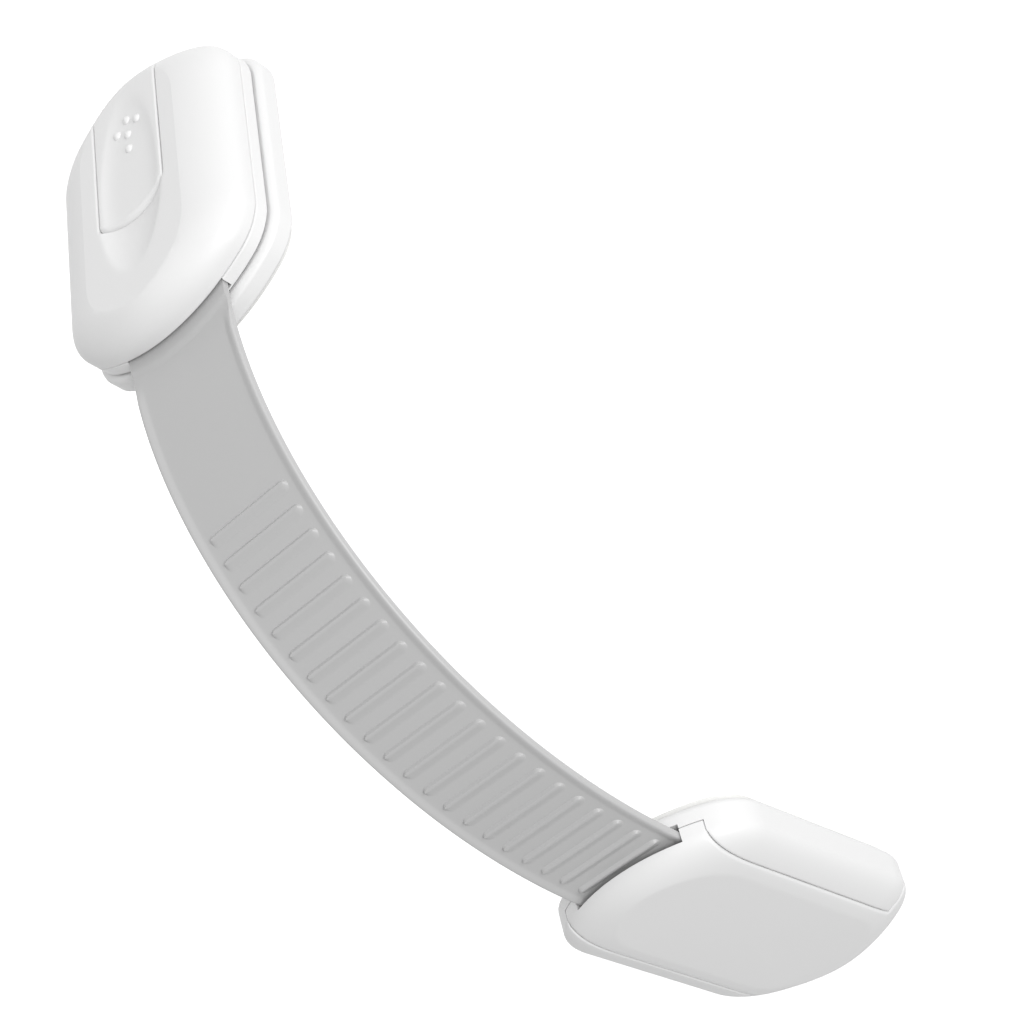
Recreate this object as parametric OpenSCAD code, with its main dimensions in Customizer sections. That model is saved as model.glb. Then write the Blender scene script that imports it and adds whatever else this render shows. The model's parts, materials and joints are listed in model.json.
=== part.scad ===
// Adhesive cabinet strap lock: an adjuster pad and a latch pad joined by a
// bent ribbed strap. The origin is the middle of the adjuster's adhesive face,
// X runs across the strap, +Y leaves the adjuster along the strap, +Z is outward.

/* [Pads] */
// Width of the adjuster and of the latch head
pad_w = 35; // [34:0.5:38]
// Length of the adjuster
adjuster_l = 50.4; // [48:0.2:56]
// Length of the latch head
head_l = 47.8; // [44.8:0.2:52]
// Radius of the bowed ends of the pads
end_r = 26; // [25:0.5:32]
// Radius of the rounded corners of the pads
corner_r = 8; // [6:0.5:9]
// Thickness of the foam tape under each pad
tape_t = 1; // [0.6:0.1:1.5]
// Distance from a pad's edge to the edge of its tape
tape_inset = 1.5; // [1:0.1:3]

/* [Adjuster] */
// Height of the adjuster above its tape
adjuster_h = 8.05; // [7.9:0.05:9]
// Height of the rolled upper edge of the adjuster
adjuster_roll_h = 3.75; // [3.2:0.05:4]
// Width of the roll along the sides of the adjuster
adjuster_side_roll = 7.6; // [6:0.1:9]
// Width of the roll at the strap end of the adjuster
mouth_roll = 4; // [3:0.1:5]
// Width of the roll at the hinge end of the adjuster
hinge_roll = 2.5; // [2:0.1:3.5]
// Thickness of the adjuster's floor
floor_t = 1.6; // [1.4:0.1:1.9]
// Height of the bed that carries the strap above the floor
bed_h = 1.6; // [1.4:0.1:1.7]
// Width of each rail that guides the strap
rail_w = 1.2; // [1:0.1:1.4]
// Height of the rails above the floor
rail_h = 2.3; // [2:0.1:2.4]
// Room between a rail and the lid's side wall
rail_room = 0.45; // [0.4:0.05:0.6]
// Thickness of the lid's side walls
lid_wall = 1.4; // [1.2:0.1:1.6]
// Length of the lid's full-width end, from the hinge end of the pad
lid_end_l = 7.4; // [6.6:0.1:8.5]
// Thickness of the lid's roof
lid_roof_t = 1.85; // [1.6:0.05:2]
// Height of the adjuster's end wall under the lid, above the tape
sill_h = 2.8; // [2.7:0.05:3]
// Open gap of every seam between two shells
seam_gap = 0.15; // [0.1:0.01:0.2]
// Radius of the lid's hinge barrel
barrel_r = 2.6; // [2.4:0.05:2.7]
// Height of the lid's hinge pin above the tape
hinge_h = 4.3; // [4.2:0.05:4.5]
// Diameter of the lid's hinge pin
hinge_pin_d = 1.6; // [1.2:0.1:2]
// Distance of each hinge post from the middle of the pad
hinge_post_x = 6; // [5:0.1:6.5]
// Width of each hinge post
hinge_post_w = 2.2; // [1.6:0.1:2.4]
// Thickness of the ratchet pawl's leaf
pawl_t = 0.5; // [0.4:0.05:0.6]
// Width of the ratchet pawl
pawl_w = 12; // [8:0.5:14]

/* [Strap] */
// Width of the strap
strap_w = 19; // [18:0.1:19.4]
// Thickness of the strap
strap_t = 1; // [0.8:0.05:1.1]
// Radius of the rounded bead along each edge of the strap
rim_r = 0.55; // [0.45:0.05:0.6]
// Height of the bead above the strap's face
rim_h = 0.25; // [0.1:0.05:0.3]
// Distance from one rib to the next
rib_pitch = 3.6; // [3.2:0.1:4]
// Width of a rib along the strap
rib_w = 1.6; // [1.2:0.1:1.8]
// Height of a rib
rib_h = 0.5; // [0.3:0.05:0.5]
// Length of a rib across the strap
rib_l = 14.6; // [12:0.2:15]
// Ribs on each ribbed length of the strap
ribs_per_length = 5; // [4:1:6]
// Length of each smooth length of the strap
smooth_l = 12.2; // [10:0.1:14]
// Length of the strap's bend that belongs to the tail
tail_bend_l = 12; // [11:0.5:14]
// Room behind the strap's end inside the adjuster, for drawing it in
tail_room = 4; // [3.9:0.1:6]
// Length of the strap's bend that belongs to the latch head
root_bend_l = 7.2; // [6:0.2:9]
// Radius of the bend at the adjuster
adjuster_bend_r = 102.2; // [92:0.2:115]
// Radius of the bend at the latch
latch_bend_r = 52.2; // [50:0.2:58]
// Distance from the adjuster's mouth to the place inside where the bend starts
adjuster_mouth_l = 10.4; // [9:0.1:11]
// Distance from the latch's mouth to the place inside where the bend ends
latch_mouth_l = 4.7; // [4:0.1:5]

/* [Latch head] */
// Height of the latch cover
cover_h = 6.25; // [6.2:0.05:7]
// Height of the rolled upper edge of the cover
cover_roll_h = 5; // [4.5:0.1:5.5]
// Width of the roll along the sides of the cover
cover_side_roll = 7.5; // [6.5:0.1:8]
// Width of the roll at the ends of the cover
cover_end_roll = 2.7; // [2.2:0.1:4]
// Wall of the cover
cover_wall = 2.2; // [1.8:0.1:2.4]
// Height of the hollow inside the cover
hollow_h = 3.5; // [3.4:0.05:3.7]
// Thickness of the head's bottom plate
bottom_t = 2; // [1.95:0.05:2.4]
// Diameter of the screws' shanks
screw_d = 1.7; // [1.4:0.1:2]
// Diameter of the screws' heads
screw_head_d = 3.4; // [3:0.1:3.6]
// Thickness of the screws' heads
screw_head_t = 0.9; // [0.7:0.1:1.1]
// Distance of the screws from the middle of the head, across the strap
screw_x = 12.5; // [12.3:0.1:13]
// Distance of the screws from the middle of the head, along the strap
screw_y = 11; // [10:0.5:12]
// Diameter of the pegs that hold the strap's end
strap_peg_d = 2.8; // [2:0.1:3.2]
// Distance of each strap peg from the middle
strap_peg_x = 5; // [4:0.1:6]

/* [Release button] */
// Width of the button
button_w = 13.2; // [12:0.1:13.6]
// How far the button reaches past the middle of the head towards the strap
button_reach = 5.4; // [4:0.1:5.5]
// Radius of the button's arched inner end
button_arch_r = 14; // [9:0.5:18]
// Diameter of the button's pivot pin
pivot_pin_d = 1.8; // [1.4:0.1:2]
// Distance of the pivot pin from the button's inner end
pivot_inset = 3.2; // [3:0.1:3.4]
// Distance from the head's free end to the thumb dish
dish_end_inset = 5.2; // [3:0.1:6]
// Distance from the head's strap end to the thumb dish
dish_root_inset = 8.4; // [8:0.1:11]
// Width of the thumb dish
dish_w = 12.6; // [11:0.1:13]
// Depth of the thumb dish
dish_d = 1.5; // [1:0.05:1.6]
// How much deeper the dish is on the cover than on the button
dish_step = 0.7; // [0:0.05:0.75]
// Diameter of the raised dots
dot_d = 1.2; // [0.8:0.05:1.4]
// Distance of each side dot from the middle
dot_x = 2.1; // [1.6:0.1:2.6]
// Distance of the side dots from the head's free end
dot_inset = 10.6; // [9.8:0.1:11.4]
// Thickness of the hook's leg
hook_t = 1.6; // [1.2:0.1:1.8]
// Width of the hook
hook_w = 6; // [4:0.5:7]
// How far the hook catches under the keeper
hook_catch = 0.35; // [0.25:0.05:0.35]
// Thickness of the button's leaf spring
leaf_t = 0.4; // [0.3:0.05:0.5]
// Width of the button's leaf spring
leaf_w = 5; // [3:0.5:6]

/* [Latch base] */
// How far the latch's base plate stands out past the head all round
plate_lip = 1; // [0.5:0.1:1.5]
// Height of the base plate
plate_h = 3.3; // [3.1:0.05:3.6]
// Open gap between the base plate and the head
head_gap = 0.3; // [0.2:0.05:0.5]
// Diameter of the pegs that centre the head on the base plate
locating_peg_d = 3; // [2:0.1:3.4]

/* [Hidden] */

// Smoothness of true round faces
$fn = 48;
// Points on each corner arc and on each end arc of a pad's outline
corner_steps = 6;
end_steps = 8;
// Slices that make up a rolled edge
roll_steps = 6;
// How far a rolled edge turns before it meets the flat top, in degrees; the rest shows as a soft crease
roll_turn = 70;
// More than any cut needs
far = 60;

// Clearances
running_gap = 0.05;
strap_gap = 0.1;
side_gap = 0.2;
peg_play = 0.4;
strap_head_gap = 0.4;

// How far one solid sinks into the next that it is joined to
weld = 0.1;

// Colours
white = [0.90, 0.90, 0.90];
grey = [0.72, 0.72, 0.72];
foam = [0.80, 0.80, 0.78];
steel = [0.66, 0.67, 0.69];

// Heights and places in the adjuster
adjuster_top = tape_t + adjuster_h;
adjuster_roll_z = adjuster_top - adjuster_roll_h;
floor_z = tape_t + floor_t;
lid_edge_z = tape_t + sill_h + seam_gap;
ceiling_z = adjuster_top - lid_roof_t;
hinge_back = 0.15;
hinge_sweep = 0.7;
hinge_y = -adjuster_l / 2 + barrel_r + hinge_back;
hinge_z = tape_t + hinge_h;
lid_end_y = -adjuster_l / 2 + lid_end_l;
lid_end_drop = 0.13;
lid_end_z = adjuster_roll_z - lid_end_drop;
mouth_wall = 4.9;
back_wall = 1.2;
hollow_front_y = adjuster_l / 2 - mouth_wall;
hollow_back_y = hinge_y + barrel_r + back_wall;
rail_x = strap_w / 2 + side_gap;
hollow_x = rail_x + rail_w + rail_room;
lid_w = 2 * (hollow_x + lid_wall);
bed_margin = 0.5;
bed_room = 1.35;
bed_lead = 3.5;
rail_lead = 0.5;
mouth_step = 0.6;
foot_h = 0.4;
hinge_post_step = 0.4;
hinge_post_r = barrel_r - hinge_post_step;

// The strap's line: its upper face, from the tail (cut 0) to the latch (last cut)
strap_top = floor_z + bed_h + strap_gap + strap_t;
tail_y = adjuster_l / 2 - adjuster_mouth_l;
tail_l = tail_y - hollow_back_y - tail_room;
ribbed_l = ribs_per_length * rib_pitch;
bend_lengths = [tail_bend_l, ribbed_l, ribbed_l, ribbed_l, ribbed_l, smooth_l, smooth_l, root_bend_l];
last_cut = len(bend_lengths);
function cut_u(i) = i == 0 ? 0 : cut_u(i - 1) + bend_lengths[i - 1];
bend_total = cut_u(last_cut);
function bend_share(i) = (cut_u(i) + bend_lengths[i] / 2) / bend_total;
function curvature(i) = 1 / adjuster_bend_r + (1 / latch_bend_r - 1 / adjuster_bend_r) * bend_share(i);
function bend_r(i) = 1 / curvature(i);
function turn(i) = bend_lengths[i] * curvature(i) * 180 / PI;
function heading(i) = i == 0 ? 0 : heading(i - 1) + turn(i - 1);
function cut_step(i) = bend_r(i) * [sin(heading(i + 1)) - sin(heading(i)), cos(heading(i + 1)) - cos(heading(i))];
function cut_at(i) = i == 0 ? [tail_y, strap_top] : cut_at(i - 1) + cut_step(i - 1);

// Heights and places in the latch, from its adhesive face
plate_top = tape_t + plate_h;
bottom_z = plate_top + head_gap;
cover_z = bottom_z + bottom_t;
cover_top = cover_z + cover_h;
cover_roll_z = cover_top - cover_roll_h;
hollow_top = cover_z + hollow_h;
strap_head_top = cover_z - strap_head_gap;
strap_floor_gap = 0.05;
strap_head_room = latch_mouth_l * latch_mouth_l / (2 * latch_bend_r) + strap_floor_gap;
strap_head_floor = strap_head_top - strap_t - strap_head_room;
latch_reach = head_l / 2 - latch_mouth_l;
root_end_y = -6;
root_l = latch_reach + root_end_y;
strap_peg_inset = 5;
strap_peg_y = root_end_y - strap_peg_inset;
strap_peg_h = 1.5;
pivot_y = -button_reach + pivot_inset;
pivot_h = 1.8;
pivot_z = cover_z + pivot_h;
pivot_post_gap = 0.4;
pivot_post_x = button_w / 2 + pivot_post_gap;
pivot_post_w = 2;
pivot_post_half = 1.8;
pivot_ear_w = 1.8;
pivot_ear_drop = 1.4;
pivot_ear_sink = 0.2;
skirt_t = 2.6;
skirt_y = head_l / 2 - skirt_t;
skirt_gap = 0.5;
boss_d = 4.6;
screw_end_room = 0.4;
plate_roll = 1;
plate_foot_h = 0.5;
plate_w = pad_w + 2 * plate_lip;
plate_l = head_l + 2 * plate_lip;
dish_l = head_l - dish_end_inset - dish_root_inset;
dish_y = (dish_root_inset - dish_end_inset) / 2;
dish_along_r = dish_l * dish_l / (8 * dish_d) + dish_d / 2;
dish_across_r = dish_w * dish_w / (8 * dish_d) + dish_d / 2;
dot_y = head_l / 2 - dot_inset;

// The hook and its keeper
keeper_y = 8;
keeper_t = 1.1;
keeper_room = 1.2;
hook_back = 3.4;
hook_y = keeper_y - hook_back;
hook_gap = 0.1;
hook_flange_l = 1;
hook_window_room = 1;
hook_window_y = hook_y - hook_window_room;
hook_window_w = hook_w + 1.2 * hook_window_room;
toe_top = plate_top - keeper_t - hook_gap;
toe_t = 0.8;
toe_bevel = 0.3;
hook_flange_t = 0.6;
locating_peg_x = 9;
locating_peg_y = 13;
locating_peg_h = 1.9;
locating_peg_sink = 0.2;

// Points on an arc, from its first to its last step
function arc(c, r, a, b, n, first, last) =
  [for (i = [first:last]) c + r * [cos(a + (b - a) * i / n), sin(a + (b - a) * i / n)]];

// Outline of a pad: straight sides, rounded corners and bowed ends
function pad_half(w, l, re, rc) =
  let (yc = l / 2 - re, dx = w / 2 - rc, dy = sqrt((re - rc) * (re - rc) - dx * dx), a = atan2(dy, dx))
  concat(arc([dx, yc + dy], rc, 0, a, corner_steps, 0, corner_steps - 1),
         arc([0, yc], re, a, 180 - a, end_steps, 0, end_steps),
         arc([-dx, yc + dy], rc, 180 - a, 180, corner_steps, 1, corner_steps));
function pad_outline(w, l, re, rc) = concat(pad_half(w, l, re, rc), -1 * pad_half(w, l, re, rc));

// A pad's outline drawn in by d all round
module pad_area(w, l, d) {
  polygon(pad_outline(w - 2 * d, l - 2 * d, end_r - d, corner_r - d));
}

// One ring of a rolled pad at a height, drawn in by its own amount at the sides and at each end
function pad_ring(w, l, z, side, front, back) =
  let (rc = corner_r * (1 - side / w), re = end_r - (front + back) / 2)
  [for (p = pad_outline(w - 2 * side, l - front - back, re, rc)) [p[0], p[1] + (back - front) / 2, z]];

// A solid pad with a rolled upper edge; front is its +Y end
module rolled_pad(w, l, z0, roll_z, top, side, front, back, foot) {
  rolls = [for (i = [0:roll_steps]) let (a = roll_turn * i / roll_steps)
    [(1 - cos(a)) / (1 - cos(roll_turn)), sin(a) / sin(roll_turn)]];
  feet = foot > 0 ? [pad_ring(w, l, z0, foot, foot, foot), pad_ring(w, l, z0 + foot, 0, 0, 0)]
                  : [pad_ring(w, l, z0, 0, 0, 0)];
  rings = concat(feet, [for (s = rolls)
    pad_ring(w, l, roll_z + (top - roll_z) * s[1], side * s[0], front * s[0], back * s[0])]);
  n = len(rings[0]);
  last = len(rings) - 1;
  polyhedron(
    [for (ring = rings) each ring],
    concat([[for (i = [0:n - 1]) i]],
           [[for (i = [n - 1:-1:0]) last * n + i]],
           [for (k = [0:last - 1], i = [0:n - 1]) [k * n + i, (k + 1) * n + i, (k + 1) * n + (i + 1) % n]],
           [for (k = [0:last - 1], i = [0:n - 1]) [k * n + i, (k + 1) * n + (i + 1) % n, k * n + (i + 1) % n]]));
}

// A bar along X with the given (y, z) profile
module bar_x(width, profile) {
  rotate([90, 0, 90]) linear_extrude(width, center = true) polygon(profile);
}

// A round bar along X
module rod_x(r, width) {
  rotate([0, 90, 0]) cylinder(r = r, h = width, center = true);
}

// A box from its lowest and highest corners
module box(low, high) {
  translate(low) cube(high - low);
}

// Puts a thing on both sides
module both_sides() {
  children();
  mirror([1, 0, 0]) children();
}

// Strap

// Cross-section with its upper face on y = 0: square edged in the latch head, beaded elsewhere
module strap_section(beads) {
  inner = beads ? strap_w - 2 * rim_r : strap_w;
  translate([-inner / 2, -strap_t]) square([inner, strap_t]);
  if (beads)
    for (side = [-1, 1]) translate([side * inner / 2, rim_h - rim_r]) circle(rim_r);
}

// The strap's frame at a cut: +Y on towards the latch, +Z out of the upper face
module at_cut(i) {
  translate([0, cut_at(i)[0], cut_at(i)[1]]) rotate([-heading(i), 0, 0]) children();
}

// One bend of the strap, in the frame of its cut
module strap_bend(i, beads) {
  translate([0, 0, -bend_r(i)])
    rotate([0, -90, 0])
      rotate_extrude(angle = turn(i), $fn = 360)
        translate([bend_r(i), 0]) rotate(-90) strap_section(beads);
}

// A straight stretch of the beaded strap along +Y
module strap_straight(length) {
  translate([0, length, 0]) rotate([90, 0, 0]) linear_extrude(length) strap_section(true);
}

// A rib: steep towards the latch, sloping down towards the adjuster
module rib() {
  sink = 0.3;
  crest = 0.3;
  bevel = 0.15;
  toe = 0.02;
  half = rib_w / 2;
  intersection() {
    bar_x(rib_l, [[-half, -sink], [half, -sink], [half, rib_h - bevel], [half - bevel, rib_h],
                  [half - bevel - crest, rib_h], [-half, toe]]);
    translate([0, 0, -sink]) linear_extrude(sink + rib_h) union() {
      square([rib_l - rib_w, rib_w], center = true);
      for (side = [-1, 1]) translate([side * (rib_l - rib_w) / 2, 0]) circle(half);
    }
  }
}

// Puts a thing on a bend's upper face, a distance on from its cut
module on_bend(i, distance) {
  translate([0, 0, -bend_r(i)])
    rotate([-distance * curvature(i) * 180 / PI, 0, 0])
      translate([0, 0, bend_r(i)]) children();
}

module strap_tail() {
  ribs_on_bend = floor(tail_bend_l / rib_pitch + 0.5);
  ribs_on_tail = floor((tail_l + tail_bend_l - rib_pitch) / rib_pitch);
  color(grey) at_cut(0) {
    translate([0, -tail_l, 0]) strap_straight(tail_l);
    strap_bend(0, true);
    for (k = [0:ribs_on_bend - 1]) on_bend(0, tail_bend_l - (k + 0.5) * rib_pitch) rib();
    for (k = [ribs_on_bend:ribs_on_tail]) translate([0, tail_bend_l - (k + 0.5) * rib_pitch, 0]) rib();
  }
}

module strap_length(i) {
  color(grey) at_cut(i) {
    strap_bend(i, true);
    if (bend_lengths[i] == ribbed_l && i <= 4)
      for (k = [0:ribs_per_length - 1]) on_bend(i, (k + 0.5) * rib_pitch) rib();
  }
}

// The end that the latch head holds: the last bend and a slightly thinner tongue with holes for the pegs
module strap_root() {
  tongue_step = 0.05;
  overlap = 1;
  tongue_x = strap_w / 2 - tongue_step;
  color(grey) {
    at_cut(last_cut - 1) strap_bend(last_cut - 1, false);
    difference() {
      at_cut(last_cut) box([-tongue_x, -overlap, tongue_step - strap_t], [tongue_x, root_l, -tongue_step]);
      in_latch() both_sides()
        translate([strap_peg_x, strap_peg_y, 0]) cylinder(d = strap_peg_d + 2 * strap_gap, h = far);
    }
  }
}

// Adjuster

module adjuster_tape() {
  color(foam) linear_extrude(tape_t) pad_area(pad_w, adjuster_l, tape_inset);
}

module adjuster_body() {
  rolled_pad(pad_w, adjuster_l, tape_t, adjuster_roll_z, adjuster_top,
             adjuster_side_roll, mouth_roll, hinge_roll, foot_h);
}

// The space that the lid takes, grown by a gap
module lid_space(gap) {
  box([-lid_w / 2 - gap, hinge_y, lid_edge_z - gap], [lid_w / 2 + gap, far, far]);
  box([-far, -far, lid_end_z - gap], [far, lid_end_y + gap, far]);
}

// The lid's hinge barrel, grown by a gap
module lid_barrel(r, gap) {
  translate([0, hinge_y, hinge_z]) rod_x(r, lid_w + 2 * gap);
}

// A post's share of the hinge, on both sides
module hinge_posts(r, gap) {
  both_sides()
    translate([hinge_post_x + hinge_post_w / 2, hinge_y, hinge_z]) rod_x(r, hinge_post_w + 2 * gap);
}

module adjuster_base() {
  color(white) difference() {
    union() {
      difference() {
        adjuster_body();
        lid_space(seam_gap);
        lid_barrel(barrel_r + hinge_sweep, seam_gap);
        box([-hollow_x, hinge_y, floor_z], [hollow_x, hollow_front_y, far]);
        // The strap's way out under the lid
        box([-rail_x, 0, floor_z + mouth_step], [rail_x, far, far]);
      }
      box([bed_margin - strap_w / 2, hollow_back_y + bed_room, floor_z - weld],
          [strap_w / 2 - bed_margin, tail_y - bed_lead, floor_z + bed_h]);
      both_sides()
        box([rail_x, hollow_back_y + bed_room, floor_z - weld],
            [rail_x + rail_w, tail_y - rail_lead, floor_z + rail_h]);
      intersection() {
        adjuster_body();
        union() {
          hinge_posts(hinge_post_r, 0);
          both_sides()
            box([hinge_post_x, hinge_y - hinge_post_r, tape_t],
                [hinge_post_x + hinge_post_w, hinge_y + hinge_post_r, hinge_z]);
        }
      }
    }
    translate([0, hinge_y, hinge_z]) rod_x(hinge_pin_d / 2 + running_gap, 2 * (hinge_post_x + hinge_post_w));
  }
}

module lid_hinge_pin() {
  color(steel) translate([0, hinge_y, hinge_z]) rod_x(hinge_pin_d / 2, 2 * (hinge_post_x + hinge_post_w));
}

module adjuster_lid() {
  color(white) difference() {
    intersection() {
      adjuster_body();
      union() {
        lid_space(0);
        lid_barrel(barrel_r, 0);
      }
    }
    box([-hollow_x, hollow_back_y, 0], [hollow_x, hollow_front_y, ceiling_z]);
    // The notch over the strap
    box([-rail_x, 0, 0], [rail_x, far, strap_top + rib_h + strap_gap]);
    hinge_posts(hinge_post_r + seam_gap, seam_gap);
    both_sides()
      box([hinge_post_x - seam_gap, -far, 0],
          [hinge_post_x + hinge_post_w + seam_gap, hinge_y + hinge_post_r + seam_gap, hinge_z]);
    translate([0, hinge_y, hinge_z]) rod_x(hinge_pin_d / 2 + running_gap, 2 * (hinge_post_x + hinge_post_w));
  }
}

// A leaf under the lid's roof whose tip stands in front of a rib's steep face
module ratchet_pawl() {
  ribs_back = 5;
  reach = 6;
  root = 2.4;
  tip_t = 0.7;
  tip_h = 0.8;
  bend = 0.4;
  tip_y = tail_y + tail_bend_l - (ribs_back + 0.5) * rib_pitch + rib_w / 2 + side_gap;
  tip_z = strap_top + strap_gap;
  root_y = tip_y + reach;
  color(white)
    bar_x(pawl_w, [[tip_y, tip_z], [tip_y + tip_t, tip_z], [root_y, ceiling_z - pawl_t],
                   [root_y + root, ceiling_z - pawl_t], [root_y + root, ceiling_z],
                   [root_y - bend, ceiling_z], [tip_y, tip_z + tip_h]]);
}

// Latch

// The latch's frame: origin in the middle of its adhesive face, +Y away from the strap
module in_latch() {
  at_cut(last_cut) translate([0, latch_reach, -strap_head_top]) children();
}

module cover_body() {
  rolled_pad(pad_w, head_l, cover_z, cover_roll_z, cover_top,
             cover_side_roll, cover_end_roll, cover_end_roll, 0);
}

// The thumb dish: the lowest part of a ring that lies along the head
module thumb_dish(deeper) {
  half_angle = 20;
  translate([0, dish_y, cover_top - dish_d - deeper + dish_along_r])
    rotate([0, 90, 0]) rotate(-half_angle)
      rotate_extrude(angle = 2 * half_angle, $fn = 360)
        translate([dish_along_r - dish_across_r, 0]) circle(dish_across_r, $fn = 120);
}

// The button's plan, grown by a gap
module button_area(gap) {
  arch_y = -button_reach + button_arch_r;
  intersection() {
    translate([-button_w / 2 - gap, -far]) square([button_w + 2 * gap, 2 * far]);
    union() {
      translate([0, arch_y]) circle(button_arch_r + gap);
      translate([-far, arch_y]) square([2 * far, far]);
    }
  }
}

// Puts a thing at the four screws
module at_screws() {
  for (x = [-screw_x, screw_x], y = [-screw_y, screw_y]) translate([x, y, 0]) children();
}

module head_cover() {
  color(white) in_latch() difference() {
    cover_body();
    difference() {
      linear_extrude(hollow_top) pad_area(pad_w, head_l, cover_wall);
      at_screws() cylinder(d = boss_d, h = far);
    }
    at_screws() cylinder(d = screw_d + 2 * running_gap, h = hollow_top + screw_end_room);
    linear_extrude(far) button_area(seam_gap);
    thumb_dish(dish_step);
  }
}

module head_bottom_plate() {
  channel_x = strap_w / 2 + side_gap;
  color(white) in_latch() {
    difference() {
      translate([0, 0, bottom_z]) linear_extrude(bottom_t) pad_area(pad_w, head_l, 0);
      box([-channel_x, -far, strap_head_floor], [channel_x, root_end_y + side_gap, far]);
      box([-hook_window_w / 2, hook_window_y, 0], [hook_window_w / 2, keeper_y + hook_window_room, far]);
      box([-button_w / 2 - seam_gap, skirt_y - skirt_gap, 0], [button_w / 2 + seam_gap, far, far]);
      at_screws() {
        cylinder(d = screw_d + 2 * running_gap, h = far);
        cylinder(d = screw_head_d + 2 * strap_gap, h = bottom_z + screw_head_t);
      }
      both_sides() translate([locating_peg_x, locating_peg_y, 0]) cylinder(d = locating_peg_d + peg_play, h = far);
    }
    both_sides() translate([strap_peg_x, strap_peg_y, strap_head_floor - weld])
      cylinder(d = strap_peg_d, h = strap_peg_h + weld);
    both_sides() difference() {
      box([pivot_post_x, pivot_y - pivot_post_half, cover_z - weld],
          [pivot_post_x + pivot_post_w, pivot_y + pivot_post_half, hollow_top - seam_gap]);
      translate([0, pivot_y, pivot_z]) rod_x(pivot_pin_d / 2 + running_gap, far);
    }
  }
}

module head_screws() {
  color(steel) in_latch() at_screws() translate([0, 0, bottom_z]) {
    cylinder(d = screw_head_d, h = screw_head_t);
    cylinder(d = screw_d, h = hollow_top - bottom_z);
  }
}

module button_pivot_pin() {
  color(steel) in_latch() translate([0, pivot_y, pivot_z]) rod_x(pivot_pin_d / 2, 2 * (pivot_post_x + pivot_post_w));
}

// A leaf that stands on the bottom plate and holds the button up
module button_spring() {
  foot_y = keeper_y + 2 * keeper_room;
  foot_l = 3;
  tip_l = 1;
  tip_inset = 1.4;
  bend = 0.4;
  tip_y = skirt_y - tip_inset;
  tip_z = hollow_top - running_gap;
  color(steel) in_latch()
    bar_x(leaf_w, [[foot_y, cover_z], [foot_y + foot_l, cover_z], [tip_y, tip_z - leaf_t], [tip_y, tip_z],
                   [tip_y - tip_l, tip_z], [foot_y + foot_l - bend, cover_z + leaf_t], [foot_y, cover_z + leaf_t]]);
}

module release_button() {
  ear_x = button_w / 2 - side_gap - pivot_ear_w;
  color(white) in_latch() {
    difference() {
      intersection() {
        cover_body();
        linear_extrude(far) button_area(0);
        union() {
          box([-far, -far, hollow_top], [far, far, far]);
          box([-far, skirt_y, cover_z + side_gap], [far, far, far]);
        }
      }
      thumb_dish(0);
    }
    // Pivot ears, kept inside the button's plan
    intersection() {
      linear_extrude(far) button_area(0);
      both_sides() difference() {
        box([ear_x, pivot_y - pivot_post_half, pivot_z - pivot_ear_drop],
            [ear_x + pivot_ear_w, pivot_y + pivot_post_half, hollow_top + pivot_ear_sink]);
        translate([0, pivot_y, pivot_z]) rod_x(pivot_pin_d / 2 + running_gap, far);
      }
    }
    dots(dot_d);
  }
}

// Five raised dots, four in a diamond and one towards the strap, seated on the dish
module dots(d) {
  near = dot_y - 1.6;
  extra = dot_y - 4.9;
  away = dot_y + 1.7;
  for (p = [[0, away], [dot_x, dot_y], [-dot_x, dot_y], [0, near], [0, extra]])
    translate([p[0], p[1], dish_z(p[0], p[1]) - d / 4]) sphere(d = d);
}

// Height of the dish's surface at a place
function dish_z(x, y) =
  let (drop = dish_across_r - sqrt(dish_across_r * dish_across_r - x * x),
       r = dish_along_r - drop)
  cover_top - dish_d + dish_along_r - sqrt(r * r - (y - dish_y) * (y - dish_y));

// A leg under the button whose toe catches under the keeper
module release_hook() {
  toe_y = keeper_y + hook_catch;
  toe_low = toe_top - toe_t;
  flange_z = hollow_top - hook_flange_t;
  front_y = hook_y + hook_t;
  color(grey) in_latch()
    bar_x(hook_w, [[hook_y - hook_flange_l, hollow_top], [hook_y - hook_flange_l, flange_z], [hook_y, flange_z],
                   [hook_y, toe_low - toe_bevel], [front_y, toe_low - toe_bevel],
                   [toe_y, toe_top - toe_bevel], [toe_y, toe_top], [front_y, toe_top],
                   [front_y, flange_z], [front_y + hook_flange_l, flange_z], [front_y + hook_flange_l, hollow_top]]);
}

module latch_base_plate() {
  color(white) in_latch() {
    difference() {
      rolled_pad(plate_w, plate_l, tape_t, plate_top - plate_roll, plate_top,
                 plate_roll, plate_roll, plate_roll, plate_foot_h);
      box([-hook_window_w / 2, hook_window_y, 0], [hook_window_w / 2, keeper_y, far]);
      box([-hook_window_w / 2, hook_window_y, 0], [hook_window_w / 2, keeper_y + keeper_room, plate_top - keeper_t]);
    }
    both_sides() translate([locating_peg_x, locating_peg_y, plate_top - locating_peg_sink])
      cylinder(d = locating_peg_d, h = locating_peg_h + locating_peg_sink);
  }
}

module latch_tape() {
  color(foam) in_latch() linear_extrude(tape_t) pad_area(plate_w, plate_l, tape_inset);
}

adjuster_tape();
adjuster_base();
lid_hinge_pin();
adjuster_lid();
ratchet_pawl();
strap_tail();
for (i = [1:6]) strap_length(i);
strap_root();
head_cover();
head_bottom_plate();
head_screws();
button_pivot_pin();
button_spring();
release_button();
release_hook();
latch_base_plate();
latch_tape();
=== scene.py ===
"""Dresses the cabinet strap lock: smooth pad shells, the ribbed strap, its finishes and a plain studio."""

import json
import logging
import math
from dataclasses import dataclass, field
from enum import Enum
from typing import Callable

import bmesh
import bpy
from bmesh.types import BMEdge, BMesh, BMVert
from mathutils import Matrix, Vector


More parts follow.
